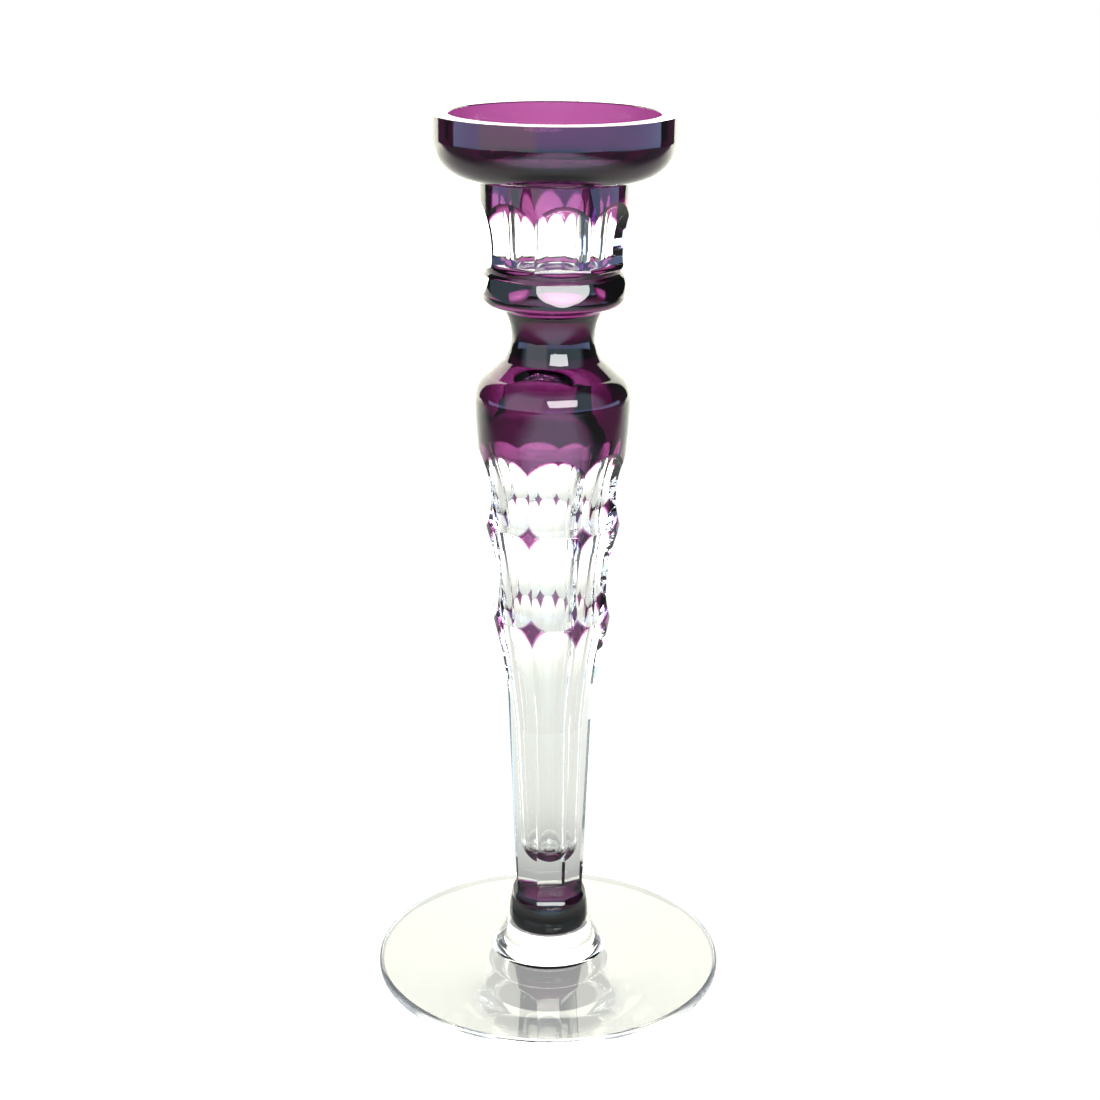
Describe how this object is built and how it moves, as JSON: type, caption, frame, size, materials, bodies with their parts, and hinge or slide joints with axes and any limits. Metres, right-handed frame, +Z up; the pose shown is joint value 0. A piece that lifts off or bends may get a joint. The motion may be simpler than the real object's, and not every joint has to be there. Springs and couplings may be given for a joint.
{
  "type": "glass candlestick",
  "caption": "Tall cut crystal candlestick with an amethyst overlay, a drip dish over a candle socket, a faceted tapering stem and a round clear foot.",
  "frame": {"origin": "centre of the foot's underside, on the surface that it stands on", "axes": "+Z up along the stem; a flat cut of the stem faces -Y"},
  "size_m": [0.1206, 0.1206, 0.3],
  "materials": {
    "clear_crystal": "clear, fire polished and wheel cut, high gloss",
    "amethyst_casing": "transparent amethyst overlay, polished"
  },
  "bodies": {
    "root": {"foot": "clear_crystal", "stem_crystal": "clear_crystal", "neck_crystal": "clear_crystal", "nozzle_crystal": "clear_crystal", "dish_crystal": "clear_crystal", "dish_casing": "amethyst_casing", "nozzle_casing_upper": "amethyst_casing", "nozzle_casing_lower": "amethyst_casing", "shoulder_casing": "amethyst_casing", "knob_casing": "amethyst_casing", "stem_diamond_upper_1": "amethyst_casing", "stem_diamond_upper_2": "amethyst_casing", "stem_diamond_upper_3": "amethyst_casing", "stem_diamond_upper_4": "amethyst_casing", "stem_diamond_upper_5": "amethyst_casing", "stem_diamond_upper_6": "amethyst_casing", "stem_diamond_upper_7": "amethyst_casing", "stem_diamond_upper_8": "amethyst_casing", "stem_diamond_lower_1": "amethyst_casing", "stem_diamond_lower_2": "amethyst_casing", "stem_diamond_lower_3": "amethyst_casing", "stem_diamond_lower_4": "amethyst_casing", "stem_diamond_lower_5": "amethyst_casing", "stem_diamond_lower_6": "amethyst_casing", "stem_diamond_lower_7": "amethyst_casing", "stem_diamond_lower_8": "amethyst_casing"}
  },
  "joints": []
}
